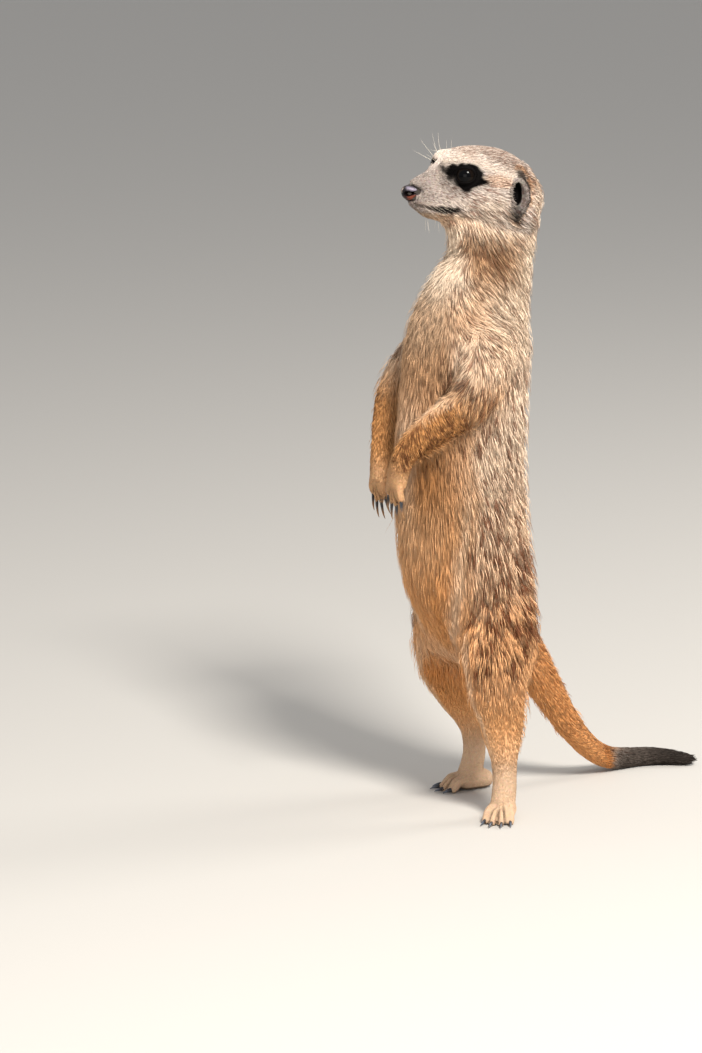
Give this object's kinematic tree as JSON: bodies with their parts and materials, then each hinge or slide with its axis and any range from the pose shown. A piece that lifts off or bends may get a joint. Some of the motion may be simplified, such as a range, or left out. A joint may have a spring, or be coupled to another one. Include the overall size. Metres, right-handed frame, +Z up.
{
  "type": "meerkat",
  "caption": "Life-size meerkat standing upright on its hind feet, head turned aside, forepaws hanging at the belly and the tail on the ground behind as a prop.",
  "frame": {"origin": "middle of the outline's base, on the level that the feet and the tail rest on", "axes": "+Z up, -Y the way the body faces, +X towards the animal's left"},
  "size_m": [0.095, 0.1874, 0.3202],
  "materials": {
    "coat": "grizzled tan fur",
    "pale_coat": "short pale fur",
    "dark_coat": "near-black fur",
    "ear_skin": "thin grey skin",
    "nose_skin": "moist dark skin",
    "eye": "wet gloss",
    "claw_horn": "satin horn"
  },
  "bodies": {
    "root": {"abdomen": "coat", "chest": "coat", "neck": "coat", "head": "coat", "upper_arm_left": "coat", "forearm_left": "coat", "thigh_left": "coat", "shank_left": "coat", "hand_left": "pale_coat", "hand_left_claw_1": "claw_horn", "hand_left_claw_2": "claw_horn", "hand_left_claw_3": "claw_horn", "hand_left_claw_4": "claw_horn", "foot_left": "pale_coat", "foot_left_claw_1": "claw_horn", "foot_left_claw_2": "claw_horn", "foot_left_claw_3": "claw_horn", "foot_left_claw_4": "claw_horn", "ear_left": "ear_skin", "eye_left": "eye", "upper_arm_right": "coat", "forearm_right": "coat", "thigh_right": "coat", "shank_right": "coat", "hand_right": "pale_coat", "hand_right_claw_1": "claw_horn", "hand_right_claw_2": "claw_horn", "hand_right_claw_3": "claw_horn", "hand_right_claw_4": "claw_horn", "foot_right": "pale_coat", "foot_right_claw_1": "claw_horn", "foot_right_claw_2": "claw_horn", "foot_right_claw_3": "claw_horn", "foot_right_claw_4": "claw_horn", "ear_right": "ear_skin", "eye_right": "eye", "nose": "nose_skin", "tail_base": "coat", "tail_middle": "coat", "tail_tip": "dark_coat"}
  },
  "joints": []
}
